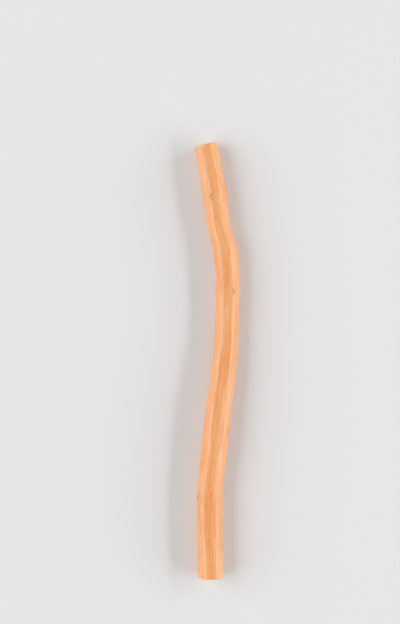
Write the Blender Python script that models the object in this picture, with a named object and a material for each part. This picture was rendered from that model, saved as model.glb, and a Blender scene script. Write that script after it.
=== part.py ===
"""A miswak stick: one sawn length of crooked root, lying on its side.

Metres, +Z up. The stick runs along Y with its thin end towards +Y, and bows towards +X in the plane
of the surface that it lies on. The origin is the middle of its box, at the level of that surface.
"""

import math

import bmesh
import bpy
import numpy as np
from mathutils import Matrix, Vector

MM = 0.001

# Places along the middle of the root, thick end first, in millimetres: how far along Y, how far
# across X, the half thickness there, and how far the underside is above the lowest places.
ROUTE = (
    (-74.4, -1.90, 4.30, 0.12),
    (-66.0, -2.22, 4.34, 0.00),
    (-54.0, -2.48, 4.30, 0.16),
    (-42.0, -2.12, 4.20, 0.40),
    (-31.0, -0.88, 4.40, 0.55),
    (-20.0, 0.24, 4.36, 0.60),
    (-6.0, 2.05, 4.18, 0.48),
    (6.0, 3.30, 3.98, 0.24),
    (14.0, 3.55, 3.92, 0.06),
    (24.0, 3.74, 4.10, 0.00),
    (30.0, 3.76, 4.00, 0.02),
    (36.5, 3.05, 4.14, 0.10),
    (41.3, 2.22, 3.98, 0.20),
    (45.4, 1.12, 3.80, 0.28),
    (51.6, 0.12, 3.98, 0.36),
    (60.0, -0.95, 4.02, 0.18),
    (68.5, -2.55, 3.98, 0.00),
    (74.4, -3.75, 3.96, 0.08),
)

# The underside is worn flat this deep where it touches the surface.
WORN_DEPTH = 0.10 * MM

# The section is an oval that turns slowly along the root, with broad lengthwise folds on it.
# Each set of folds: how many around, height, turns over the length, and the angle where it starts.
OVAL = 0.016
OVAL_TURNS = 0.35
FOLDS = (
    (3, 0.080 * MM, 0.30, 0.4),
    (5, 0.070 * MM, -0.22, 1.9),
    (8, 0.060 * MM, 0.16, 3.1),
    (13, 0.040 * MM, -0.12, 0.8),
)
FOLD_SWING = 0.55
FOLD_SWING_LENGTH = 41.0 * MM

# Scars of trimmed rootlets: place along Y, angle round the root in degrees from +X towards +Z,
# length, width and height of the swelling. Each has a shallow cup in its middle.
SCARS = (
    (56.0 * MM, 104.0, 5.4 * MM, 3.6 * MM, 0.32 * MM),
    (23.5 * MM, 62.0, 5.0 * MM, 3.4 * MM, 0.28 * MM),
    (-24.0 * MM, 28.0, 6.0 * MM, 4.0 * MM, 0.38 * MM),
    (-47.0 * MM, 150.0, 5.4 * MM, 3.8 * MM, 0.34 * MM),
    (-3.0 * MM, 205.0, 5.2 * MM, 3.6 * MM, 0.30 * MM),
    (35.0 * MM, 318.0, 5.0 * MM, 3.4 * MM, 0.28 * MM),
)
CUP_SHARE = 0.5
CUP_DEPTH = 1.15

# A knuckle stands out on the outer side of the crook, and a shallow crease runs across above it.
KNUCKLE = (39.5 * MM, 6.0, 8.0 * MM, 6.5 * MM)
KNUCKLE_HEIGHT = 0.13 * MM
CREASE_AT = 44.8 * MM
CREASE_ANGLE = 60.0
CREASE_SLANT = 0.30
CREASE_WIDTH = 1.5 * MM
CREASE_DEPTH = 0.16 * MM
CREASE_REACH = 1.1

SIDES = 48
RINGS = 92
SAW_SLANT_THIN = 3.0
SAW_SLANT_THICK = -2.5
SAWN_EDGE = 0.22 * MM
SAWN_EDGE_STEPS = 2
ROUND_PROFILE = 0.5
SHARP_EDGE = 35.0
RUN_STEP = 0.5 * MM
CUT_TOLERANCE = 0.002 * MM

ROOT_COLOUR = (0.823, 0.376, 0.136, 1.0)
ROOT_ROUGHNESS = 0.48

FIRST_Y = ROUTE[0][0] * MM
LAST_Y = ROUTE[-1][0] * MM
LENGTH = LAST_Y - FIRST_Y


def clear_scene():
    for thing in list(bpy.data.objects):
        bpy.data.objects.remove(thing, do_unlink=True)


def smooth_between(places, values, at):
    """The smooth curve through the values at the places, read at one place."""
    last = len(places) - 1
    start = min(max(int(np.searchsorted(places, at)) - 1, 0), last - 1)
    end = start + 1
    before = max(start - 1, 0)
    after = min(end + 1, last)
    gap = places[end] - places[start]
    start_slope = gap * (values[end] - values[before]) / (places[end] - places[before])
    end_slope = gap * (values[after] - values[start]) / (places[after] - places[start])
    t = (at - places[start]) / gap
    return (
        (2 * t**3 - 3 * t**2 + 1) * values[start]
        + (t**3 - 2 * t**2 + t) * start_slope
        + (3 * t**2 - 2 * t**3) * values[end]
        + (t**3 - t**2) * end_slope
    )


def route_value(column, y):
    """One column of ROUTE, in metres, where the root passes y."""
    along = [place[0] * MM for place in ROUTE]
    values = [place[column] * MM for place in ROUTE]
    return smooth_between(along, values, y)


def angle_from(angle, degrees):
    """How far an angle is past one given in degrees, by the shorter way round, in radians."""
    turn = angle - math.radians(degrees)
    return math.atan2(math.sin(turn), math.cos(turn))


def nearness(y, angle, half, spot):
    """1 in the middle of a spot on the surface, falling smoothly to 0 outside it."""
    at, degrees, length, width = spot
    across = angle_from(angle, degrees) * half / (width / 2)
    along = (y - at) / (length / 2)
    return math.exp(-(across**2) - along**2)


def fold_relief(y, angle):
    swing = FOLD_SWING * math.sin(2 * math.pi * y / FOLD_SWING_LENGTH)
    relief = 0.0
    for count, height, turns, start in FOLDS:
        twist = 2 * math.pi * turns * y / LENGTH
        relief += height * math.cos(count * angle + twist + start + swing)
    return relief


def scar_relief(y, angle, half):
    relief = 0.0
    for at, degrees, length, width, height in SCARS:
        swelling = nearness(y, angle, half, (at, degrees, length, width))
        cup = nearness(y, angle, half, (at, degrees, length * CUP_SHARE, width * CUP_SHARE))
        relief += height * (swelling - CUP_DEPTH * cup)
    return relief


def crook_relief(y, angle, half):
    turn = angle_from(angle, CREASE_ANGLE)
    line = CREASE_AT + CREASE_SLANT * turn * half
    crease = math.exp(-(((y - line) / CREASE_WIDTH) ** 2) - (turn / CREASE_REACH) ** 2)
    return KNUCKLE_HEIGHT * nearness(y, angle, half, KNUCKLE) - CREASE_DEPTH * crease


def surface_radius(y, angle):
    """Distance from the middle of the root to its surface."""
    half = route_value(2, y)
    oval = OVAL * math.cos(2 * angle + 2 * math.pi * OVAL_TURNS * y / LENGTH)
    return (
        half * (1 + oval)
        + fold_relief(y, angle)
        + scar_relief(y, angle, half)
        + crook_relief(y, angle, half)
    )


def middle_at(y):
    """The middle of the root at y, as high as its underside asks for."""
    underside = surface_radius(y, -math.pi / 2)
    return Vector((route_value(1, y), y, underside + route_value(3, y) - WORN_DEPTH))


def level_run_at(y):
    """The way the root runs at y, seen from above, towards the thin end."""
    low = max(y - RUN_STEP, FIRST_Y)
    high = min(y + RUN_STEP, LAST_Y)
    return Vector((route_value(1, high) - route_value(1, low), high - low, 0.0)).normalized()


def surface_point(share, angle):
    """A point of the surface: share is 0 at the thick end and 1 at the thin end."""
    y = FIRST_Y + LENGTH * share
    run = level_run_at(y)
    level = Vector((run.y, -run.x, 0.0))
    up = Vector((0.0, 0.0, 1.0))
    out = level * math.cos(angle) + up * math.sin(angle)
    return middle_at(y) + out * surface_radius(y, angle)


def saw_off(points, y, slant):
    """Slides the end's points along the root into the plane of a saw cut, turned by slant."""
    run = level_run_at(y)
    middle = middle_at(y)
    normal = Matrix.Rotation(math.radians(slant), 3, "Z") @ run
    for point in points:
        point.co += run * ((middle - point.co).dot(normal) / run.dot(normal))


def cylinder_in_rings():
    """A cylinder of unit radius and length, with its sides cut into rings."""
    shape = bmesh.new()
    bmesh.ops.create_cone(
        shape, cap_ends=True, segments=SIDES, radius1=1.0, radius2=1.0, depth=1.0
    )
    sides = [edge for edge in shape.edges if edge.verts[0].co.z != edge.verts[1].co.z]
    bmesh.ops.subdivide_edges(shape, edges=sides, cuts=RINGS - 2, use_grid_fill=True)
    return shape


def lay_on_surface(shape):
    """Cuts off what is below the surface, and closes each cut with a flat face."""
    bmesh.ops.bisect_plane(
        shape,
        geom=shape.verts[:] + shape.edges[:] + shape.faces[:],
        plane_co=(0.0, 0.0, 0.0),
        plane_no=(0.0, 0.0, -1.0),
        clear_outer=True,
        dist=CUT_TOLERANCE,
    )
    for point in shape.verts:
        point.co.z = max(point.co.z, 0.0)
    rims = [edge for edge in shape.edges if edge.is_boundary]
    bmesh.ops.holes_fill(shape, edges=rims, sides=0)


def centre_on_origin(shape):
    corners = np.array([point.co[:2] for point in shape.verts])
    middle = (corners.min(axis=0) + corners.max(axis=0)) / 2
    bmesh.ops.translate(shape, verts=shape.verts, vec=(-middle[0], -middle[1], 0.0))


def make_stick_mesh():
    shape = cylinder_in_rings()
    # The cylinder's top becomes the thick end, which keeps its faces pointing out.
    caps = [face for face in shape.faces if len(face.verts) == SIDES]
    thin_end, thick_end = sorted(caps, key=lambda cap: cap.calc_center_median().z)
    top = thick_end.calc_center_median().z
    for point in shape.verts:
        point.co = surface_point(top - point.co.z, math.atan2(point.co.y, point.co.x))
    saw_off(thick_end.verts, FIRST_Y, SAW_SLANT_THICK)
    saw_off(thin_end.verts, LAST_Y, SAW_SLANT_THIN)
    shape.normal_update()
    bmesh.ops.bevel(
        shape,
        geom=[*thick_end.edges, *thin_end.edges],
        offset=SAWN_EDGE,
        segments=SAWN_EDGE_STEPS,
        profile=ROUND_PROFILE,
        affect="EDGES",
    )
    lay_on_surface(shape)
    centre_on_origin(shape)
    mesh = bpy.data.meshes.new("stick")
    shape.to_mesh(mesh)
    shape.free()
    mesh.shade_smooth()
    mesh.set_sharp_from_angle(angle=math.radians(SHARP_EDGE))
    return mesh


def root_material():
    material = bpy.data.materials.new("root")
    material.use_nodes = True
    surface = material.node_tree.nodes["Principled BSDF"]
    surface.inputs["Base Color"].default_value = ROOT_COLOUR
    surface.inputs["Roughness"].default_value = ROOT_ROUGHNESS
    surface.inputs["Metallic"].default_value = 0.0
    return material


def make_stick():
    collection = bpy.data.collections.new("miswak stick")
    bpy.context.scene.collection.children.link(collection)
    stick = bpy.data.objects.new("stick", make_stick_mesh())
    stick.data.materials.append(root_material())
    collection.objects.link(stick)


clear_scene()
make_stick()
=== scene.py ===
"""The looks of a miswak stick: bark with furrows, lenticels and rootlet scars, and sawn ends.

The frame is in metres, and the stick lies along Y with its thin end towards +Y. Sizes of what is on
the surface are in millimetres, and angles round the root are from +X towards +Z.
"""

import math
import zlib

import bpy
import numpy as np
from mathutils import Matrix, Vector
from mathutils.bvhtree import BVHTree


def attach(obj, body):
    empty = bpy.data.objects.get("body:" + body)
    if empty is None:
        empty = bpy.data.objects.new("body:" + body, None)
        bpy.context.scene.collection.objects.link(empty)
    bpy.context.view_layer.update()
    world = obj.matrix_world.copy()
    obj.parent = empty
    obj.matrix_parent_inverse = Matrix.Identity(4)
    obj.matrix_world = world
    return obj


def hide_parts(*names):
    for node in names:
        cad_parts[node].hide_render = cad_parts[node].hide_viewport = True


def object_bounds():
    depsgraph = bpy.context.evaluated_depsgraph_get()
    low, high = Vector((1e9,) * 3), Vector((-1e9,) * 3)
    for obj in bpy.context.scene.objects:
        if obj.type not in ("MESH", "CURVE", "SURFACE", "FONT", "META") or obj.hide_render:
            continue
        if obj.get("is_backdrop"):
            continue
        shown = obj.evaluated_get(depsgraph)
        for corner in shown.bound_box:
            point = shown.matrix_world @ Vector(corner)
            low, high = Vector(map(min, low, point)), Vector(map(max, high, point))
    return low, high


MM = 0.001

# The picture's frame in pixels, the place of the stick's middle in it, and a pixel's size there.
PICTURE = (400, 624)
STICK_MIDDLE = (217.2, 360.0)
PIXEL = 0.344 * MM
LENS = 100.0
SENSOR = 36.0

# Soft lights, all aimed at the stick: place, length and height, in metres, and power.
LIGHTS = {
    "left_light": ((-1.60, 0.0, 1.08), (2.6, 1.70), 37.0),
    "right_light": ((1.70, 0.0, 0.56), (2.6, 0.86), 20.0),
    "right_strip": ((1.36, 0.0, 0.92), (2.4, 0.16), 9.5),
    "thin_end_light": ((0.0, 1.7, 0.8), (1.8, 1.1), 6.0),
    "thick_end_light": ((0.0, -1.7, 0.8), (1.8, 1.1), 6.0),
}
WORLD_STRENGTH = 0.17
FLOOR_SIZE = 24.0
FLOOR_ROUGHNESS = 0.9

# How the solid is read: which faces are a sawn end's, how far apart the slices are that give its
# route and how far each one reaches, how often the route and the way it runs are softened, how much
# of each end isn't read, and over how many rings and sides the solid's facets are smoothed out.
END_FACING = 0.9
END_REACH = 3.0 * MM
SLICE_GAP = 1.5 * MM
SLICE_REACH = 1.3 * SLICE_GAP
ROUTE_SOFTENING = 3
RUN_SOFTENING = 12
UNREAD_END = 1.4 * MM
FACET_BLUR = 2.0

# The skin's mesh: rings along the root, sides round it, and rings across each sawn end.
RINGS = 380
SIDES = 220
END_RINGS = 24

# Over this length the rings turn into the plane of a saw cut. Then the cut's edge is rounded by two
# rings, each so far outwards and inwards in shares of the rounding.
TURNING_LENGTH = 7.0
RIM_ROUNDING = 0.12
RIM_STEPS = ((0.7, 0.3), (1.0, 1.0))

# How far a random field is blurred, in shares of the size of the features that this leaves in it.
FEATURE_BLUR = 0.36

# Relief along the root: how wide and how long its features are, and how high or deep.
LUMPS = (3.2, 9.0, 0.035)
FURROWS = (1.05, 22.0, 0.060)
FINE_FURROWS = (0.60, 11.0, 0.026)
FIBRE_RIDGES = (0.34, 5.0, 0.010)

# How wide the furrows are, as a share of the spread of the random field that they follow.
FURROW_SHARE = 0.30
FINE_FURROW_SHARE = 0.40

# Patches where this relief is at its strongest: how wide and long they are, the levels of the
# random field between which they come in, and the share of the relief that stays outside them.
ROUGH_PATCHES = (5.0, 22.0)
ROUGH_LEVELS = (-0.9, 0.9)
CALMEST = 0.45

# Cross wrinkles on the inner side of the crook: where they are and how far they reach along the
# root, their angle in degrees and how far they reach round it in radians, how far apart and how
# deep they are, and how wide, as a share of the wave that they follow.
WRINKLES_AT = 33.0
WRINKLES_REACH = 12.0
WRINKLES_ANGLE = 172.0
WRINKLES_SPREAD = 0.85
WRINKLES_GAP = 1.9
WRINKLES_DEPTH = 0.045
WRINKLES_SHARE = 0.5

# Two random fields break the wrinkles and sway them. The wrinkles lie aslant, too.
WRINKLE_BREAKS = (2.2, 2.6)
WRINKLE_BREAK_LEVELS = (-1.0, 0.7)
WRINKLE_WAVES = (2.5, 4.0)
WRINKLE_SWAY = 2.2
WRINKLE_SLANT = 0.8

# Lenticels are small raised lenses that lie across the root, with a slit in each: the gaps between
# the places where one may be, across and along, and the share of these places that have one. In
# shares of the gaps: where a lens fades out, where its slit ends, and how wide the slit is.
LENTICEL_GAPS = (3.4, 1.5)
LENTICEL_SHARE = 0.13
LENTICEL_EDGE = (0.08, 0.22)
SLIT_END = (0.06, 0.16)
SLIT_WIDTH = 0.07

# How near a feature a point is: FAR in the feature's middle, FAR - 1 on its outline, 0 far away.
FAR = 2.0

# Scars of trimmed rootlets, on the solid's swellings: place along Y, angle in degrees, half width.
SCARS = (
    (56.0, 104.0, 0.80),
    (23.5, 62.0, 0.66),
    (-24.0, 28.0, 0.92),
    (-47.0, 150.0, 0.82),
    (-3.0, 205.0, 0.74),
    (35.0, 318.0, 0.68),
)

# How much longer than wide a scar is, and the waves of its outline: how wide and long they are, and
# how far they go in shares of the scar's half width.
SCAR_LENGTH = 1.25
SCAR_WAVES = (1.2, 1.2)
SCAR_WOBBLE = 0.10

# A scar's relief: how far out and how wide it is, in shares of the scar's half width, and how high.
# The material raises a finer swelling beside the rim.
SCAR_PIT = (0.0, 0.30, -0.14)
SCAR_GROOVE = (0.84, 0.12, -0.07)
SCAR_RIM = (1.1, 0.24, 0.13)
SCAR_SWELLING = (1.08, 0.32)

# A scar's tones: how far out they reach, and how soft their outlines are.
SCAR_STAIN = (1.25, 0.50)
SCAR_HEART = (0.76, 0.12)
SCAR_CORE = (0.22, 0.16)

# The other relief fades out towards a scar, between these places, by this share.
CALM_EDGE = (1.3, 0.9)
CALM_SHARE = 0.85

# Detail is what stands out from surroundings so wide and long. The bark's colour gets a painted
# highlight where it is raised and painted shade where it is sunken, in full from this height or
# depth.
SURROUNDINGS = (0.5, 1.2)
RAISED_HEIGHT = 0.03
SUNKEN_DEPTH = 0.04

# Thin skin of the bark that is rubbed off, and chips at the sawn edges: how wide and long they are,
# the level that their random field passes, how sharp their edges are, and how deep they are. Chips
# are rarer away from the saw cut, by one level over their reach.
SCUFFS = (1.3, 7.0)
SCUFF_LEVEL = 1.75
SCUFF_EDGE = (0.9, 1.1)
SCUFF_DEPTH = 0.015
CHIPS = (1.2, 1.0)
CHIP_LEVEL = 0.35
CHIP_EDGE = (0.85, 1.15)
CHIP_DEPTH = 0.12
CHIP_REACH = 0.75

# The sawn ends: the bark's ring and the gap inside it, the saw's marks, torn and pitted wood, and
# how far in from the edge this relief is in full.
BARK_THICKNESS = 0.50
BARK_GAP_WIDTH = 0.12
BARK_GAP_DEPTH = 0.05
SAW_ANGLE = math.radians(24.0)
SAW_MARK_GAP = 0.66
SAW_MARK_HEIGHT = 0.014
TORN_GAP = 0.75
TORN_HEIGHT = 0.05
PITTED_GAP = 0.34
PITTED_HEIGHT = 0.03
LEVEL_EDGE = 0.25

# Drying splits: how many, how unevenly they lie round the middle, how long they are, how far they
# sway and where in its wave that starts, how deep and wide they are, and what is left at the tip.
SPLITS = 3
SPLIT_SCATTER = 0.4
SPLIT_LENGTH = (0.8, 3.2)
SPLIT_SWAY = 0.10
SPLIT_SWAY_START = (0.0, 6.0)
SPLIT_DEPTH = 0.10
SPLIT_WIDTH = 0.12
SPLIT_TIP = 0.02

# Loose fibres and slivers of bark at each sawn edge: how many, length, half width, half thickness.
FIBRES = (80, (0.20, 0.75), (0.010, 0.022), (0.009, 0.016))
SLIVERS = (6, (0.25, 0.55), (0.05, 0.10), (0.018, 0.030))

# Where these spikes stand: how deep inside the edge, and how long a root they have in the wood.
# Then how far they lean and bend, outwards and along the edge.
SPIKE_DEPTH = (0.10, BARK_THICKNESS + 0.2)
SPIKE_ROOT = 0.25
LEAN_OUT = (-0.45, 0.25)
LEAN_ALONG = (-0.6, 0.6)
BEND_OUT = (-0.5, 0.3)
BEND_ALONG = (-0.7, 0.7)

# A spike's sides and rings, how late it narrows, and what is left of it at the tip.
SPIKE_SIDES = 6
SPIKE_SHARES = (0.0, 0.3, 0.6, 0.85, 1.0)
SPIKE_TAPER = 2.2
SPIKE_TIP = 0.05

# The texture sheet: two tiles of bark side by side, and the sawn ends beside them, as discs that
# hold what is within DISC_REACH of an end's middle.
TILES_LEFT = (0.01, 0.42)
TILE_WIDTH = 0.40
TILE_BOTTOM = 0.01
TILE_HEIGHT = 0.98
DISCS = ((0.91, 0.10), (0.91, 0.30))
DISC_RADIUS = 0.08
DISC_REACH = 5.0

# The levels that nearly all of a noise is between, and that most of it is between.
NOISE_RANGE = (0.25, 0.75)
NOISE_MIDDLE = (0.3, 0.7)

# The bark's satin coat, how rough each surface is, from and to, how much rougher furrows and scars
# are, and how a surface is shaded, from and to.
COAT_WEIGHT = 0.70
COAT_ROUGHNESS = 0.29
BARK_ROUGHNESS = (0.38, 0.52)
WOOD_ROUGHNESS = (0.72, 0.88)
FIBRE_ROUGHNESS = (0.60, 0.80)
FURROWS_ROUGHER = 0.14
SCARS_ROUGHER = 0.20
BARK_SHADES = (0.90, 1.08)
WOOD_SHADES = (0.93, 1.05)

# The materials' own fine relief, and how far marks rise and drop in it, in shares of its height.
BARK_BUMP = 0.045 * MM
WOOD_BUMP = 0.04 * MM
FIBRE_BUMP = 0.02 * MM
GRAIN_RISE = 0.6
PEBBLE_RISE = 0.4
LENTICEL_RISE = 0.8
SWELLING_RISE = 1.8
GROOVE_DROP = 2.2
PORE_DROP = 0.25

# Outlines in the bark's material are ragged: how far, and the share of that on each kind of mark.
RAGGED = (-0.16, 0.16)
RAGGED_LENTICEL = 0.35
RAGGED_SLIT = 0.25
RAGGED_SCAR = 0.6


def srgb(red, green, blue):
    """A colour given in 0 to 255, as linear values."""
    shares = [value / 255 for value in (red, green, blue)]
    linear = [s / 12.92 if s <= 0.04045 else ((s + 0.055) / 1.055) ** 2.4 for s in shares]
    return (*linear, 1.0)


TAN = srgb(248, 173, 110)
DEEP_TAN = srgb(244, 160, 91)
# The pale tan is also a painted highlight on raised relief. The brown below it is both the dark
# streaks and painted shade in sunken relief.
PALE_TAN = srgb(251, 203, 159)
STREAK_AND_SHADE_BROWN = srgb(205, 119, 62)
CORK = srgb(247, 208, 166)
SLIT_BROWN = srgb(140, 80, 42)
OCHRE = srgb(220, 160, 82)
INNER_BARK = srgb(245, 200, 146)
SCAR_WOOD = srgb(240, 190, 134)
WOOD = srgb(254, 236, 198)
WOOD_BAND = srgb(248, 218, 166)
WOOD_PORE = srgb(214, 166, 108)
BARK_SECTION = srgb(232, 176, 116)
BARK_EDGE = srgb(182, 108, 56)
FIBRE = srgb(246, 216, 166)
FLOOR = (0.80, 0.80, 0.80, 1.0)
WHITE = (1.0, 1.0, 1.0, 1.0)


def seeded(name):
    """Random numbers that are the same in each run, and go with a name."""
    return np.random.default_rng(zlib.crc32(name.encode()))


def smoothstep(low, high, value):
    t = np.clip((value - low) / (high - low), 0, 1)
    return t * t * (3 - 2 * t)


def bell(value):
    return np.exp(-(value**2))


def turn_between(angle, other):
    """angle less other, by the shorter way round."""
    turn = angle - other
    return np.arctan2(np.sin(turn), np.cos(turn))


def blurred(field, rings, sides):
    """field smoothed over so many rings and sides. It joins round the root, and not at its ends."""
    pad = int(4 * rings) + 1
    tall = np.pad(field, ((pad, pad), (0, 0)), mode="reflect")
    along = np.fft.fftfreq(tall.shape[0])[:, None]
    around = np.fft.fftfreq(tall.shape[1])[None, :]
    keep = np.exp(-2 * math.pi**2 * ((along * rings) ** 2 + (around * sides) ** 2))
    return np.fft.ifft2(np.fft.fft2(tall) * keep).real[pad:-pad]


def softened(path, times):
    """path with each inner point drawn towards its neighbours, so many times."""
    path = path.copy()
    for _ in range(times):
        path[1:-1] = (path[:-2] + 2 * path[1:-1] + path[2:]) / 4
    return path


class Solid:
    """The frame's stick: its surface, its route and its two sawn ends."""

    def __init__(self, node):
        mesh = node.data
        self.points = np.array([point.co for point in mesh.vertices])
        faces = [tuple(face.vertices) for face in mesh.polygons]
        self.tree = BVHTree.FromPolygons(self.points.tolist(), faces)
        self.thick_end = self.sawn_end(mesh, -1)
        self.thin_end = self.sawn_end(mesh, 1)
        self.route = self.find_route()

    def sawn_end(self, mesh, side):
        """(middle, outward normal) of the flat face at the end on that side of Y."""
        reach = (self.points[:, 1] * side).max()
        faces = [
            face
            for face in mesh.polygons
            if face.normal.y * side > END_FACING and face.center.y * side > reach - END_REACH
        ]
        areas = [face.area for face in faces]
        middle = np.average([face.center for face in faces], axis=0, weights=areas)
        normal = np.average([face.normal for face in faces], axis=0, weights=areas)
        return middle, normal / np.linalg.norm(normal)

    def find_route(self):
        """Middles of the solid's sections from end to end."""
        first, last = self.thick_end[0], self.thin_end[0]
        middles = [first]
        for y in np.arange(first[1] + 2 * SLICE_GAP, last[1] - 2 * SLICE_GAP, SLICE_GAP):
            near = self.points[np.abs(self.points[:, 1] - y) < SLICE_REACH]
            middle = (near.min(axis=0) + near.max(axis=0)) / 2
            middles.append((middle[0], y, middle[2]))
        return softened(np.array([*middles, last]), ROUTE_SOFTENING)

    def middles_at(self, y):
        x = np.interp(y, self.route[:, 1], self.route[:, 0])
        z = np.interp(y, self.route[:, 1], self.route[:, 2])
        return np.column_stack((x, y, z))


class Bark:
    """The grid of the bark: a row for each ring, thick end first, and a column for each side."""

    def __init__(self, solid):
        self.solid = solid
        self.y = np.linspace(solid.thick_end[0][1], solid.thin_end[0][1], RINGS)
        self.angle = (np.arange(SIDES) + 0.5) * 2 * math.pi / SIDES - math.pi / 2
        self.middle = solid.middles_at(self.y)
        self.run = self.level_run()
        level = np.column_stack((self.run[:, 1], -self.run[:, 0], np.zeros(RINGS)))
        up = np.array((0.0, 0.0, 1.0))
        self.out = (
            level[:, None, :] * np.cos(self.angle)[None, :, None]
            + up * np.sin(self.angle)[None, :, None]
        )
        steps = np.linalg.norm(np.diff(self.middle, axis=0), axis=1)
        self.along = np.concatenate(([0], np.cumsum(steps))) / MM
        self.from_end = np.minimum(self.along, self.along[-1] - self.along)[:, None]
        self.radius = self.solid_radius()
        self.size = self.radius.mean() / MM
        self.ring_gap = self.along[-1] / (RINGS - 1)
        self.side_gap = 2 * math.pi * self.size / SIDES

    def level_run(self):
        """The way that the root runs at each ring, seen from above."""
        run = np.gradient(self.middle, axis=0)
        run[:, 2] = 0
        run = softened(run, RUN_SOFTENING)
        return run / np.linalg.norm(run, axis=1)[:, None]

    def solid_radius(self):
        """Distances from the route to the solid's surface, with its small facets smoothed out."""
        radius = np.zeros((RINGS, SIDES))
        read = (self.y > self.y[0] + UNREAD_END) & (self.y < self.y[-1] - UNREAD_END)
        read = np.nonzero(read)[0]
        for ring in read:
            start = Vector(self.middle[ring])
            for side in range(SIDES):
                hit = self.solid.tree.ray_cast(start, Vector(self.out[ring, side]))
                radius[ring, side] = hit[3]
        radius[: read[0]] = radius[read[0]]
        radius[read[-1] + 1 :] = radius[read[-1]]
        return blurred(radius, FACET_BLUR, FACET_BLUR)

    def smoothed(self, field, wide, long):
        """field smoothed over so many millimetres round the root and along it."""
        return blurred(field, long / self.ring_gap, wide / self.side_gap)

    def noise(self, name, wide, long):
        """A random field of spread 1, with features so wide and so long."""
        field = seeded(name).standard_normal((RINGS, SIDES))
        field = self.smoothed(field, FEATURE_BLUR * wide, FEATURE_BLUR * long)
        return (field - field.mean()) / field.std()

    def from_place(self, y, degrees):
        """How far each point is along and round the root from a place."""
        around = turn_between(self.angle, math.radians(degrees)) * self.size
        return np.broadcast_arrays(self.y[:, None] / MM - y, around[None, :])


def grooves(bark, name, wide, long, share):
    """1 in the middle of narrow grooves, which follow the lines where a random field is zero."""
    return bell(bark.noise(name, wide, long) / share)


def over_level(field, level):
    """Nearness to the places where a field is over a level."""
    return np.clip(field - level + FAR - 1, 0, FAR)


def lengthwise_relief(bark):
    """Furrows and fibre ridges along the root, stronger in some patches."""
    patches = smoothstep(*ROUGH_LEVELS, bark.noise("rough patches", *ROUGH_PATCHES))
    height = FIBRE_RIDGES[2] * bark.noise("fibre ridges", *FIBRE_RIDGES[:2])
    height -= FURROWS[2] * grooves(bark, "furrows", *FURROWS[:2], FURROW_SHARE)
    height -= FINE_FURROWS[2] * grooves(bark, "fine", *FINE_FURROWS[:2], FINE_FURROW_SHARE)
    return height * (CALMEST + (1 - CALMEST) * patches)


def rootlet_scars(bark):
    """(height, nearness)."""
    height = np.zeros((RINGS, SIDES))
    nearness = np.zeros((RINGS, SIDES))
    wobble = SCAR_WOBBLE * bark.noise("scar outlines", *SCAR_WAVES)
    for y, degrees, half_width in SCARS:
        along, around = bark.from_place(y, degrees)
        far = np.hypot(along / SCAR_LENGTH, around) / half_width + wobble
        for place, width, high in (SCAR_RIM, SCAR_PIT, SCAR_GROOVE):
            height += high * bell((far - place) / width)
        nearness = np.maximum(nearness, FAR - far)
    return height, nearness


def cross_wrinkles(bark):
    """1 in the middle of the creases where the crook presses the bark together."""
    along, _ = bark.from_place(WRINKLES_AT, WRINKLES_ANGLE)
    turn = turn_between(bark.angle, math.radians(WRINKLES_ANGLE))[None, :]
    near = bell(along / WRINKLES_REACH) * bell(turn / WRINKLES_SPREAD)
    breaks = bark.noise("wrinkle breaks", *WRINKLE_BREAKS)
    near = near * smoothstep(*WRINKLE_BREAK_LEVELS, breaks)
    sway = WRINKLE_SLANT * turn + WRINKLE_SWAY * bark.noise("wrinkles", *WRINKLE_WAVES)
    wave = np.cos(2 * math.pi * along / WRINKLES_GAP + sway)
    return near * bell((wave + 1) / WRINKLES_SHARE)


def bark_relief(bark):
    """(height in millimetres, values for the material by name) over the whole bark."""
    scars, scar = rootlet_scars(bark)
    calm = 1 - CALM_SHARE * smoothstep(FAR - CALM_EDGE[0], FAR - CALM_EDGE[1], scar)
    scuff = calm * over_level(bark.noise("scuffs", *SCUFFS), SCUFF_LEVEL)
    chip = over_level(bark.noise("chips", *CHIPS) - bark.from_end / CHIP_REACH, CHIP_LEVEL)
    fine = calm * lengthwise_relief(bark) + scars - WRINKLES_DEPTH * cross_wrinkles(bark)
    detail = fine - bark.smoothed(fine, *SURROUNDINGS)
    values = {
        # raised and sunken drive a painted highlight and painted shade in the bark's colour; sunken
        # also makes it rougher.
        "raised": np.clip(detail / RAISED_HEIGHT, 0, 1),
        "sunken": np.clip(-detail / SUNKEN_DEPTH, 0, 1),
        "scar": scar,
        "scuff": scuff,
        "chip": chip,
    }
    lumps = LUMPS[2] * bark.noise("lumps", *LUMPS[:2])
    worn = SCUFF_DEPTH * smoothstep(*SCUFF_EDGE, scuff) + CHIP_DEPTH * smoothstep(*CHIP_EDGE, chip)
    return lumps + fine - worn, values


def ring_faces(bark):
    """The way that each ring's plane faces: along the root, turning to the saw cut at each end."""
    to_thick = 1 - smoothstep(0, TURNING_LENGTH, bark.along)[:, None]
    to_thin = 1 - smoothstep(0, TURNING_LENGTH, bark.along[-1] - bark.along)[:, None]
    faces = (
        bark.run
        + to_thick * (-bark.solid.thick_end[1] - bark.run)
        + to_thin * (bark.solid.thin_end[1] - bark.run)
    )
    return faces / np.linalg.norm(faces, axis=1)[:, None]


def straight_places(angle, distance, along):
    """Where points would be on a straight root along Y, in millimetres."""
    return np.stack((distance * np.cos(angle), along, distance * np.sin(angle)), axis=-1)


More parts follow.
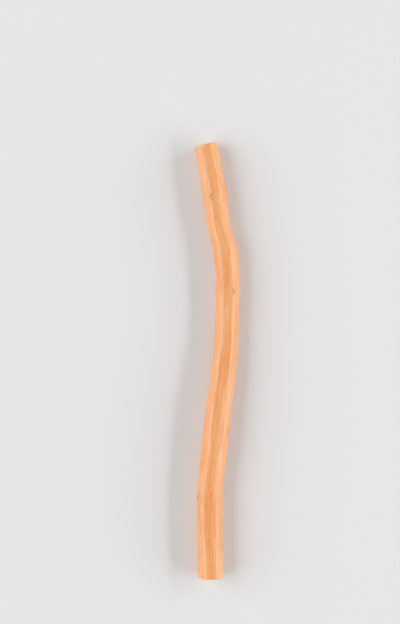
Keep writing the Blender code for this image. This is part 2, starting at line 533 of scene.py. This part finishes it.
def bark_strip(bark):
    """The bark's rings, each slid along the root into its plane, with the materials' values."""
    height, values = bark_relief(bark)
    arms = bark.out * (bark.radius + height * MM)[:, :, None]
    faces = ring_faces(bark)
    slide = -(arms * faces[:, None, :]).sum(axis=2) / (bark.run * faces).sum(axis=1)[:, None]
    points = bark.middle[:, None, :] + arms + bark.run[:, None, :] * slide[:, :, None]
    points[:, :, 2] = np.maximum(points[:, :, 2], 0.0)
    distance = np.full((RINGS, SIDES), bark.size)
    along = bark.along[:, None] + slide / MM
    straight = straight_places(bark.angle, distance, along)
    ends_only = {name: np.zeros((RINGS, SIDES)) for name in ("inward", "split")}
    return {"points": points, "straight": straight, **values, **ends_only}


def lattice_noise(rng, x, z, gap):
    """Smooth noise from -1 to 1 over a sawn end, with features about gap wide."""
    count = int(2 * DISC_REACH / gap) + 3
    grid = rng.uniform(-1, 1, (count, count))
    across, up = (x + DISC_REACH) / gap, (z + DISC_REACH) / gap
    column, row = np.floor(across).astype(int), np.floor(up).astype(int)
    right, above = smoothstep(0, 1, across - column), smoothstep(0, 1, up - row)
    low = grid[row, column] * (1 - right) + grid[row, column + 1] * right
    high = grid[row + 1, column] * (1 - right) + grid[row + 1, column + 1] * right
    return low * (1 - above) + high * above


class SawnEnd:
    """One sawn end: two rings that round its edge, and rings from there to near its middle."""

    def __init__(self, bark, strip, ring, end):
        self.angle = bark.angle
        self.outward = end[1]
        self.edge_values = {name: values[ring] for name, values in strip.items()}
        edge = strip["points"][ring]
        arms = edge - edge.mean(axis=0)
        inward = -arms / np.linalg.norm(arms, axis=1)[:, None]
        size = RIM_ROUNDING * MM
        self.rim = [
            edge + self.outward * outward_share * size + inward * inward_share * size
            for outward_share, inward_share in RIM_STEPS
        ]
        self.centre = self.rim[-1].mean(axis=0)
        self.arms = self.rim[-1] - self.centre
        self.reach = np.linalg.norm(self.arms, axis=1) / MM

    def splits(self, rng, distance):
        """Nearness to the drying splits, which run out from the middle and narrow to nothing."""
        nearness = np.zeros(distance.shape)
        first = rng.uniform(0, 2 * math.pi)
        for number in range(SPLITS):
            scatter = rng.uniform(-SPLIT_SCATTER, SPLIT_SCATTER)
            angle = first + 2 * math.pi * (number + scatter) / SPLITS
            length = rng.uniform(*SPLIT_LENGTH)
            start = rng.uniform(*SPLIT_SWAY_START)
            sway = SPLIT_SWAY * np.sin(2 * math.pi * distance / length + start)
            aside = turn_between(self.angle, angle) * distance - sway
            narrowing = SPLIT_WIDTH * np.clip(1 - distance / length, SPLIT_TIP, 1)
            nearness = np.maximum(nearness, FAR - np.abs(aside) / narrowing)
        return nearness

    def relief(self, rng, distance, inward, split):
        """Heights of the saw's marks, torn and pitted wood, the bark's gap and the splits."""
        x, z = distance * np.cos(self.angle), distance * np.sin(self.angle)
        across_marks = distance * np.cos(self.angle - SAW_ANGLE)
        height = SAW_MARK_HEIGHT * np.sin(2 * math.pi * across_marks / SAW_MARK_GAP)
        height += TORN_HEIGHT * lattice_noise(rng, x, z, TORN_GAP)
        height += PITTED_HEIGHT * lattice_noise(rng, x, z, PITTED_GAP)
        height -= BARK_GAP_DEPTH * bell((inward - BARK_THICKNESS) / BARK_GAP_WIDTH)
        height -= SPLIT_DEPTH * bell(FAR - split)
        return height * smoothstep(0, LEVEL_EDGE, inward - RIM_ROUNDING)

    def strip(self, seed_name):
        """The end's rings from its edge inwards, with the materials' values."""
        rng = seeded(seed_name)
        shares = 1 - np.arange(END_RINGS)[:, None] / END_RINGS
        distance = self.reach * shares
        inward = self.reach - distance + RIM_ROUNDING
        split = self.splits(rng, distance)
        lift = self.outward * (self.relief(rng, distance, inward, split) * MM)[:, :, None]
        inner = self.centre + self.arms * shares[:, :, None] + lift
        rows = END_RINGS + 1
        edges = {name: edge for name, edge in self.edge_values.items() if edge.ndim == 1}
        values = {name: np.tile(edge, (rows, 1)) for name, edge in edges.items()}
        values["points"] = np.concatenate((self.rim[:1], inner))
        outer = self.reach[None, :] + RIM_ROUNDING
        along = np.full((rows, SIDES), self.edge_values["straight"][:, 1].mean())
        values["straight"] = straight_places(self.angle, np.concatenate((outer, distance)), along)
        values["inward"] = np.concatenate((np.zeros((1, SIDES)), inward))
        values["split"] = np.concatenate((np.zeros((1, SIDES)), split))
        return values


def tube_faces(rows, sides):
    """(ring, side) of each corner of a tube's side faces."""
    ring = np.arange(rows - 1)[:, None, None] + np.array((0, 1, 1, 0))
    side = np.arange(sides)[None, :, None] + np.array((0, 0, 1, 1))
    return np.broadcast_arrays(ring, side)


def closed_tube(rings):
    """(points, faces) of a tube through rings of points, closed with a fan at each end."""
    rows, sides = rings.shape[:2]
    ring, side = tube_faces(rows, sides)
    quads = (ring * sides + side % sides).reshape(-1, 4).tolist()
    first, last = rows * sides, rows * sides + 1
    start = (rows - 1) * sides
    pairs = [(side, (side + 1) % sides) for side in range(sides)]
    fans = [(first, here, beyond) for here, beyond in pairs]
    fans += [(start + here, last, start + beyond) for here, beyond in pairs]
    middles = [rings[0].mean(axis=0), rings[-1].mean(axis=0)]
    return np.concatenate((rings.reshape(-1, 3), middles)), quads + fans


def add_piece(name, points, faces, materials):
    """A smooth mesh of these faces, as an object of the scene."""
    mesh = bpy.data.meshes.new(name)
    mesh.from_pydata(points, [], faces)
    for material in materials:
        mesh.materials.append(material)
    mesh.shade_smooth()
    piece = bpy.data.objects.new(name, mesh)
    bpy.context.scene.collection.objects.link(piece)
    return piece


def sheet_places(straight):
    """The place of each corner of the skin's faces on the texture sheet."""
    rows = straight.shape[0]
    ring, side = tube_faces(rows, SIDES)
    disc = straight[ring, side % SIDES][..., (0, 2)] / DISC_REACH * DISC_RADIUS
    places = np.empty(disc.shape)
    first, last = END_RINGS - 1, rows - END_RINGS
    middle = rows // 2
    places[:first] = disc[:first] + DISCS[0]
    places[last:] = disc[last:] + DISCS[1]
    for left, start, stop in ((TILES_LEFT[0], first, middle), (TILES_LEFT[1], middle, last)):
        places[start:stop, ..., 0] = left + TILE_WIDTH * side[start:stop] / SIDES
        share = (ring[start:stop] - start) / (stop - start)
        places[start:stop, ..., 1] = TILE_BOTTOM + TILE_HEIGHT * share
    fans = []
    rims = straight[0][:, (0, 2)], straight[-1][:, (0, 2)]
    for rim, centre, order in zip(rims, DISCS, ((0, 1, 2), (1, 0, 2))):
        here = rim / DISC_REACH * DISC_RADIUS + centre
        beyond = np.roll(here, -1, axis=0)
        corners = np.stack((np.broadcast_to(centre, here.shape), here, beyond), axis=1)
        fans.append(corners[:, order])
    return np.concatenate([places.reshape(-1, 2), *(fan.reshape(-1, 2) for fan in fans)])


def add_values(mesh, rings):
    """Gives the mesh's points the values that the materials read."""
    for name, values in rings.items():
        if name == "points":
            continue
        ends = [values[0].mean(axis=0), values[-1].mean(axis=0)]
        if name == "straight":
            attribute = mesh.attributes.new(name, "FLOAT_VECTOR", "POINT")
            vectors = np.concatenate((values.reshape(-1, 3), ends))
            attribute.data.foreach_set("vector", vectors.ravel())
        else:
            attribute = mesh.attributes.new(name, "FLOAT", "POINT")
            attribute.data.foreach_set("value", np.concatenate((values.ravel(), ends)))


def make_skin(rings, materials):
    """The stick's whole surface as one closed mesh. The second material is on its sawn ends."""
    points, faces = closed_tube(rings["points"])
    skin = add_piece("miswak_root", points.tolist(), faces, materials)
    sheet = skin.data.uv_layers.new(name="OFBake")
    sheet.data.foreach_set("uv", sheet_places(rings["straight"]).ravel())
    add_values(skin.data, rings)
    rows = len(rings["points"])
    sawn = np.zeros((rows - 1, SIDES), int)
    sawn[: END_RINGS - 1] = 1
    sawn[rows - END_RINGS :] = 1
    sawn = np.concatenate((sawn.ravel(), np.ones(2 * SIDES, int)))
    skin.data.polygons.foreach_set("material_index", sawn)
    return skin


def spike_rings(start, way, wide, bend, length, half_width, half_thickness):
    """Rings of a spike that bends and narrows to a point."""
    thick = np.cross(wide, way)
    turn = np.arange(SPIKE_SIDES) * 2 * math.pi / SPIKE_SIDES
    rings = []
    for share in SPIKE_SHARES:
        middle = start + way * length * share + bend * length * share**2
        narrow = max(1 - share**SPIKE_TAPER, SPIKE_TIP)
        across = np.cos(turn)[:, None] * wide * half_width * narrow
        through = np.sin(turn)[:, None] * thick * half_thickness * narrow
        rings.append(middle + across + through)
    return np.array(rings)


def random_spike(rng, end, sizes):
    """Rings of one loose fibre or sliver somewhere round a sawn edge."""
    side = int(rng.integers(SIDES))
    out = end.arms[side] / np.linalg.norm(end.arms[side])
    tangent = np.cross(end.outward, out)
    depth = rng.uniform(*SPIKE_DEPTH)
    way = end.outward + rng.uniform(*LEAN_OUT) * out + rng.uniform(*LEAN_ALONG) * tangent
    way /= np.linalg.norm(way)
    wide = tangent - way * tangent.dot(way)
    wide /= np.linalg.norm(wide)
    bend = rng.uniform(*BEND_OUT) * out + rng.uniform(*BEND_ALONG) * tangent
    start = end.rim[-1][side] - out * depth * MM - way * SPIKE_ROOT * MM
    length, *halves = [rng.uniform(*limits) * MM for limits in sizes]
    return spike_rings(start, way, wide, bend, length + SPIKE_ROOT * MM, *halves)


def end_spikes(end, seed_name):
    """Rings of every loose fibre and sliver at one sawn edge."""
    rng = seeded(seed_name)
    for count, *sizes in (FIBRES, SLIVERS):
        for _ in range(count):
            yield random_spike(rng, end, sizes)


def make_fibres(ends, material):
    points, faces = [], []
    for number, end in enumerate(ends):
        for rings in end_spikes(end, f"fibres {number}"):
            rings[:, :, 2] = np.maximum(rings[:, :, 2], 0.0)
            new_points, new_faces = closed_tube(rings)
            faces += [[corner + len(points) for corner in face] for face in new_faces]
            points += new_points.tolist()
    return add_piece("loose_fibres", points, faces, [material])


class Nodes:
    """A material's nodes, each made and joined by one call."""

    def __init__(self, name):
        self.material = bpy.data.materials.new(name)
        self.material.use_nodes = True
        self.tree = self.material.node_tree
        self.surface = self.tree.nodes["Principled BSDF"]

    def give(self, socket, value):
        """Sets a socket, or joins it to another node's output."""
        if isinstance(value, bpy.types.NodeSocket):
            self.tree.links.new(value, socket)
        else:
            socket.default_value = value

    def node(self, kind, inputs, **settings):
        """A node with these settings, and with inputs given by their names or identifiers."""
        node = self.tree.nodes.new(kind)
        for name, value in settings.items():
            setattr(node, name, value)
        for name, value in inputs.items():
            socket = next(one for one in node.inputs if name in (one.identifier, one.name))
            self.give(socket, value)
        return node

    def value(self, name):
        """A value that the mesh's points carry."""
        return self.node("ShaderNodeAttribute", {}, attribute_name=name).outputs["Fac"]

    def place(self, across=1.0, along=1.0, shift=(0.0, 0.0, 0.0)):
        """Places on the straight root, scaled across it and along it."""
        straight = self.node("ShaderNodeAttribute", {}, attribute_name="straight").outputs["Vector"]
        inputs = {"Vector": straight, "Location": shift, "Scale": (across, along, across)}
        return self.node("ShaderNodeMapping", inputs).outputs["Vector"]

    def noise_at(self, places, scale=1.0, detail=2.0, roughness=0.5, distortion=0.0):
        """Noise from 0 to 1 at these places."""
        inputs = {
            "Vector": places,
            "Scale": scale,
            "Detail": detail,
            "Roughness": roughness,
            "Distortion": distortion,
        }
        return self.node("ShaderNodeTexNoise", inputs).outputs["Fac"]

    def noise(self, wide, long, shift=(0.0, 0.0, 0.0), **settings):
        """Noise from 0 to 1 whose features are so wide and so long."""
        return self.noise_at(self.place(1 / wide, 1 / long, shift), **settings)

    def dots(self, gap, shift=(0.0, 0.0, 0.0)):
        """Distance from the nearest of scattered points, in shares of the gap between them."""
        inputs = {"Vector": self.place(1 / gap, 1 / gap, shift), "Scale": 1.0}
        return self.node("ShaderNodeTexVoronoi", inputs).outputs["Distance"]

    def between(self, value, low, high, to_low=0.0, to_high=1.0):
        """value from low to high, taken smoothly to to_low and to_high."""
        inputs = {
            "Value": value,
            "From Min": low,
            "From Max": high,
            "To Min": to_low,
            "To Max": to_high,
        }
        kind = "ShaderNodeMapRange"
        return self.node(kind, inputs, interpolation_type="SMOOTHSTEP").outputs["Result"]

    def fading(self, value, low, high):
        """1 where value is under low, fading smoothly to 0 at high."""
        return self.between(value, low, high, 1.0, 0.0)

    def within(self, nearness, far, soft):
        """1 nearer than far to the middle of a feature, whose outline is 1 from there."""
        return self.between(nearness, FAR - far - soft, FAR - far + soft)

    def patches(self, low, high, **noise):
        """0 to 1 in the patches where a noise goes up from low to high."""
        return self.between(self.noise(**noise), low, high)

    def math(self, operation, first, second=0.0):
        inputs = {"Value": first, "Value_001": second}
        return self.node("ShaderNodeMath", inputs, operation=operation).outputs["Value"]

    def times(self, first, second):
        return self.math("MULTIPLY", first, second)

    def plus(self, first, second):
        return self.math("ADD", first, second)

    def apart(self, first, second):
        """How far apart two values are."""
        return self.math("ABSOLUTE", self.math("SUBTRACT", first, second))

    def mix(self, share, first, second, blend="MIX"):
        inputs = {"Factor_Float": share, "A_Color": first, "B_Color": second}
        node = self.node("ShaderNodeMix", inputs, data_type="RGBA", blend_type=blend)
        return next(one for one in node.outputs if one.identifier == "Result_Color")

    def tint(self, colour, tint, where, strength):
        """colour with a tint over it, at this strength in the places where the value is 1."""
        return self.mix(self.times(where, strength), colour, tint)

    def shade(self, colour, shade):
        """colour made darker or lighter by a shade near 1."""
        return self.mix(1.0, colour, shade, blend="MULTIPLY")

    def finish(self, colour, roughness, height, bump):
        """The material, with relief so high where height is 1."""
        inputs = {"Height": height, "Distance": bump, "Strength": 1.0}
        normal = self.node("ShaderNodeBump", inputs).outputs["Normal"]
        self.give(self.surface.inputs["Base Color"], colour)
        self.give(self.surface.inputs["Roughness"], roughness)
        self.give(self.surface.inputs["Normal"], normal)
        return self.material


def bark_tones(bark):
    """Tan, softly mottled and streaked along the root, with painted highlight on raised relief and
    painted shade in sunken relief.
    """
    streaked = {"detail": 4.0, "roughness": 0.6}
    mottling = bark.patches(0.35, 0.68, wide=5.0, long=16.0, detail=3.0, distortion=0.4)
    pale = bark.patches(0.46, 0.74, wide=0.55, long=12.0, **streaked)
    dark = bark.patches(0.54, 0.80, wide=0.38, long=8.0, shift=(7.0, 3.0, 5.0), **streaked)
    ochre = bark.patches(0.56, 0.74, wide=3.0, long=7.0, shift=(2.0, 9.0, 4.0), detail=3.0)
    colour = bark.tint(TAN, DEEP_TAN, mottling, strength=1.0)
    colour = bark.tint(colour, PALE_TAN, pale, strength=0.35)
    colour = bark.tint(colour, STREAK_AND_SHADE_BROWN, dark, strength=0.26)
    colour = bark.tint(colour, OCHRE, ochre, strength=0.25)
    # Painted highlight on raised relief and painted shade in sunken relief, taken from the relief's
    # height alone.
    colour = bark.tint(colour, PALE_TAN, bark.value("raised"), strength=0.20)
    return bark.tint(colour, STREAK_AND_SHADE_BROWN, bark.value("sunken"), strength=0.36)


def worn_places(bark, colour, ragged):
    """The colour with inner bark where the skin is rubbed or chipped off."""
    scuff = bark.between(bark.plus(bark.value("scuff"), ragged), low=0.95, high=1.20)
    chip = bark.between(bark.plus(bark.value("chip"), ragged), low=0.92, high=1.04)
    colour = bark.tint(colour, INNER_BARK, scuff, strength=0.26)
    return bark.tint(colour, INNER_BARK, chip, strength=0.70)


def lenticels(bark, colour, ragged):
    """(the colour with the lenticels on it, their height)."""
    across, along = LENTICEL_GAPS
    places = bark.place(1 / across, 1 / along)
    cells = bark.node("ShaderNodeTexVoronoi", {"Vector": places, "Scale": 1.0})
    chance = bark.node("ShaderNodeSeparateColor", {"Color": cells.outputs["Color"]}).outputs[0]
    chosen = bark.math("LESS_THAN", chance, LENTICEL_SHARE)
    inputs = {"Vector": places, "Vector_001": cells.outputs["Position"]}
    offset = bark.node("ShaderNodeVectorMath", inputs, operation="SUBTRACT").outputs["Vector"]
    aside = bark.node("ShaderNodeSeparateXYZ", {"Vector": offset}).outputs["Y"]
    aside = bark.math("ABSOLUTE", bark.plus(aside, bark.times(ragged, RAGGED_SLIT)))
    distance = bark.plus(cells.outputs["Distance"], bark.times(ragged, RAGGED_LENTICEL))
    lens = bark.times(chosen, bark.fading(distance, *LENTICEL_EDGE))
    slit = bark.times(bark.fading(aside, 0.0, SLIT_WIDTH), bark.fading(distance, *SLIT_END))
    slit = bark.times(chosen, slit)
    colour = bark.tint(colour, CORK, lens, strength=0.28)
    colour = bark.tint(colour, SLIT_BROWN, slit, strength=0.34)
    return colour, bark.times(bark.math("SUBTRACT", lens, slit), LENTICEL_RISE)


def scar_tones(bark, colour, ragged):
    """(the colour with the rootlet scars on it, their bare hearts, their height)."""
    scar = bark.plus(bark.value("scar"), bark.times(ragged, RAGGED_SCAR))
    heart = bark.within(scar, *SCAR_HEART)
    outline = bark.fading(bark.apart(scar, FAR - SCAR_GROOVE[0]), low=0.03, high=0.13)
    breaks = bark.noise(wide=0.7, long=0.7, shift=(8.0, 1.0, 6.0))
    breaks = bark.between(breaks, low=0.35, high=0.60, to_low=0.25, to_high=1.0)
    outline = bark.times(outline, breaks)
    colour = bark.tint(colour, OCHRE, bark.within(scar, *SCAR_STAIN), strength=0.22)
    colour = bark.tint(colour, SCAR_WOOD, heart, strength=0.42)
    colour = bark.tint(colour, SLIT_BROWN, outline, strength=0.38)
    colour = bark.tint(colour, SLIT_BROWN, bark.within(scar, *SCAR_CORE), strength=0.35)
    swelling = bark.fading(bark.apart(scar, FAR - SCAR_SWELLING[0]), 0.0, SCAR_SWELLING[1])
    swelling = bark.times(swelling, SWELLING_RISE)
    return colour, heart, bark.plus(swelling, bark.times(outline, -GROOVE_DROP))


def dark_specks(bark, colour):
    """The colour with small dark specks in some patches."""
    specks = bark.fading(bark.dots(gap=0.62), low=0.08, high=0.16)
    chosen = bark.patches(0.50, 0.62, wide=2.0, long=3.0, shift=(5.0, 5.0, 5.0))
    return bark.tint(colour, SLIT_BROWN, bark.times(specks, chosen), strength=0.50)


def bark_material():
    """Thin moist bark, with what grows and wears on it and a satin coat."""
    bark = Nodes("root_bark")
    ragged = bark.noise(wide=0.20, long=0.45, detail=3.0)
    ragged = bark.between(ragged, *NOISE_RANGE, *RAGGED)
    colour = worn_places(bark, bark_tones(bark), ragged)
    colour, lenticel_height = lenticels(bark, colour, ragged)
    colour, scar_heart, scar_height = scar_tones(bark, colour, ragged)
    colour = dark_specks(bark, colour)
    grain = bark.noise(wide=0.12, long=2.2, detail=3.0, roughness=0.65)
    colour = bark.shade(colour, bark.between(grain, *NOISE_RANGE, *BARK_SHADES))

    roughness = bark.noise(wide=0.8, long=4.0, detail=3.0)
    roughness = bark.between(roughness, *NOISE_MIDDLE, *BARK_ROUGHNESS)
    roughness = bark.plus(roughness, bark.times(bark.value("sunken"), FURROWS_ROUGHER))
    roughness = bark.plus(roughness, bark.times(scar_heart, SCARS_ROUGHER))
    bark.surface.inputs["Coat Weight"].default_value = COAT_WEIGHT
    bark.surface.inputs["Coat Roughness"].default_value = COAT_ROUGHNESS

    pebbles = bark.noise(wide=0.22, long=0.35, shift=(1.0, 2.0, 3.0))
    height = bark.plus(bark.times(grain, GRAIN_RISE), bark.times(pebbles, PEBBLE_RISE))
    height = bark.plus(height, bark.plus(lenticel_height, scar_height))
    return bark.finish(colour, roughness, height, BARK_BUMP)


def wood_tones(wood):
    """(pale wood with soft bands and rays, its islands of darker tissue, its pores)."""
    inputs = {
        "Vector": wood.place(shift=(0.4, 0.0, -0.3)),
        "Scale": 0.42,
        "Distortion": 2.2,
        "Detail": 2.0,
        "Detail Scale": 0.8,
    }
    bands = wood.node("ShaderNodeTexWave", inputs, wave_type="RINGS", rings_direction="Y")
    inputs = {"Vector": wood.place(across=1.0, along=0.0)}
    directions = wood.node("ShaderNodeVectorMath", inputs, operation="NORMALIZE").outputs["Vector"]
    rays = wood.noise_at(directions, scale=9.0, detail=3.0, roughness=0.7)
    rays = wood.between(rays, low=0.50, high=0.70)
    jagged = {"detail": 3.0, "roughness": 0.6, "distortion": 0.8}
    islands = wood.patches(0.52, 0.66, wide=0.42, long=0.42, shift=(3.0, 0.0, 8.0), **jagged)
    uneven = wood.noise(wide=0.10, long=0.10, shift=(4.0, 0.0, 1.0))
    uneven = wood.between(uneven, *NOISE_MIDDLE, to_low=-0.2, to_high=0.2)
    pores = wood.plus(wood.dots(gap=0.20, shift=(6.0, 0.0, 2.0)), uneven)
    pores = wood.fading(pores, low=0.10, high=0.34)
    colour = wood.tint(WOOD, WOOD_BAND, bands.outputs["Fac"], strength=0.60)
    colour = wood.tint(colour, WOOD_PORE, rays, strength=0.35)
    colour = wood.tint(colour, WOOD_PORE, islands, strength=0.38)
    return wood.tint(colour, WOOD_PORE, pores, strength=0.34), islands, pores


def bark_ring(wood, colour):
    """The colour with the bark's thin ring round the wood, and a dark line on each side of it."""
    soft = 0.06
    wavy = wood.noise(wide=0.9, long=0.9, shift=(1.0, 0.0, 3.0), detail=3.0)
    wavy = wood.between(wavy, *NOISE_MIDDLE, to_low=-0.12, to_high=0.12)
    inward = wood.plus(wood.value("inward"), wavy)
    ring = wood.fading(inward, BARK_THICKNESS - soft, BARK_THICKNESS + soft)
    inner_line = wood.fading(wood.apart(inward, BARK_THICKNESS), low=0.01, high=0.11)
    outer_line = wood.fading(inward, low=0.08, high=0.26)
    colour = wood.tint(colour, BARK_SECTION, ring, strength=0.85)
    colour = wood.tint(colour, BARK_EDGE, inner_line, strength=0.45)
    return wood.tint(colour, BARK_EDGE, outer_line, strength=0.80)


def saw_marks(wood):
    """Noise from 0 to 1 that is drawn out along the saw's marks."""
    inputs = {"Vector": wood.place(), "Rotation": (0.0, SAW_ANGLE, 0.0), "Scale": (3.6, 1.0, 0.7)}
    places = wood.node("ShaderNodeMapping", inputs).outputs["Vector"]
    return wood.noise_at(places, detail=4.0, roughness=0.65, distortion=0.5)


def sawn_wood_material():
    """Pale wood across the grain, inside the bark's thin ring, with splits and saw marks."""
    wood = Nodes("sawn_wood")
    colour, islands, pores = wood_tones(wood)
    colour = bark_ring(wood, colour)
    split = wood.within(wood.value("split"), far=0.50, soft=0.25)
    colour = wood.tint(colour, SLIT_BROWN, split, strength=0.60)
    saw = saw_marks(wood)
    colour = wood.shade(colour, wood.between(saw, *NOISE_RANGE, *WOOD_SHADES))
    height = wood.plus(saw, wood.times(wood.plus(islands, pores), -PORE_DROP))
    roughness = wood.between(saw, *NOISE_MIDDLE, *WOOD_ROUGHNESS)
    return wood.finish(colour, roughness, height, WOOD_BUMP)


def fibre_material():
    """Loose fibres: pale and dry."""
    fibre = Nodes("loose_fibre")
    tone = fibre.node("ShaderNodeTexNoise", {"Scale": 900.0, "Detail": 2.0}).outputs["Fac"]
    colour = fibre.mix(fibre.between(tone, low=0.35, high=0.65), FIBRE, INNER_BARK)
    roughness = fibre.between(tone, *NOISE_MIDDLE, *FIBRE_ROUGHNESS)
    return fibre.finish(colour, roughness, tone, FIBRE_BUMP)


def make_floor():
    floor_material = Nodes("floor")
    floor_material.surface.inputs["Base Color"].default_value = FLOOR
    floor_material.surface.inputs["Roughness"].default_value = FLOOR_ROUGHNESS
    bpy.ops.mesh.primitive_plane_add(size=FLOOR_SIZE)
    floor = bpy.context.object
    floor.name = "floor"
    floor.data.materials.append(floor_material.material)
    floor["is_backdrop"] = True


def make_soft_light(name, place, size, power):
    """A level rectangle of light beside the stick, aimed at it."""
    light = bpy.data.lights.new(name, "AREA")
    light.shape = "RECTANGLE"
    light.size, light.size_y = size
    light.energy = power
    lamp = bpy.data.objects.new(name, light)
    lamp.location = place
    lamp.rotation_euler = (-Vector(place)).to_track_quat("-Z", "Y").to_euler()
    lamp.visible_camera = False
    bpy.context.scene.collection.objects.link(lamp)


def make_light():
    for name, settings in LIGHTS.items():
        make_soft_light(name, *settings)
    world = bpy.data.worlds.new("studio")
    world.use_nodes = True
    background = world.node_tree.nodes["Background"]
    background.inputs["Color"].default_value = WHITE
    background.inputs["Strength"].default_value = WORLD_STRENGTH
    bpy.context.scene.world = world
    bpy.context.scene.view_settings.view_transform = "Standard"


def make_camera(middle_height):
    """Straight down on the stick, with the picture's own framing."""
    camera = bpy.data.cameras.new("camera")
    camera.lens = LENS
    camera.sensor_width = SENSOR
    eye = bpy.data.objects.new("camera", camera)
    right = (PICTURE[0] / 2 - STICK_MIDDLE[0]) * PIXEL
    up = (STICK_MIDDLE[1] - PICTURE[1] / 2) * PIXEL
    distance = PICTURE[1] * PIXEL * LENS / SENSOR
    eye.location = (right, up, middle_height + distance)
    bpy.context.scene.collection.objects.link(eye)
    bpy.context.scene.camera = eye


def make_stick(node):
    solid = Solid(node)
    bark = Bark(solid)
    strip = bark_strip(bark)
    thick = SawnEnd(bark, strip, 0, solid.thick_end)
    thin = SawnEnd(bark, strip, -1, solid.thin_end)
    first, last = thick.strip("thick end"), thin.strip("thin end")
    rings = {name: np.concatenate((first[name][::-1], strip[name], last[name])) for name in strip}
    skin = make_skin(rings, [bark_material(), sawn_wood_material()])
    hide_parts("stick")
    fibres = make_fibres((thick, thin), fibre_material())
    for piece in (skin, fibres):
        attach(piece, "root")


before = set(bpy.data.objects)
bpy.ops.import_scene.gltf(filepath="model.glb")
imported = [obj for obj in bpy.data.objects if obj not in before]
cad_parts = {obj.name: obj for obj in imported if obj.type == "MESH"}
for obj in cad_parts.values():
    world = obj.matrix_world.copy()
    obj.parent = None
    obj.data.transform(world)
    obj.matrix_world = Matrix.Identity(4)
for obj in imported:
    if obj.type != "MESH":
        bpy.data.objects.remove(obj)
CAD_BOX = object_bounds()

make_stick(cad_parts["stick"])
make_floor()
make_light()
make_camera((CAD_BOX[0].z + CAD_BOX[1].z) / 2)

sizes = {"cad_box": CAD_BOX, "visual_box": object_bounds()}
{name: [list(corner) for corner in box] for name, box in sizes.items()}
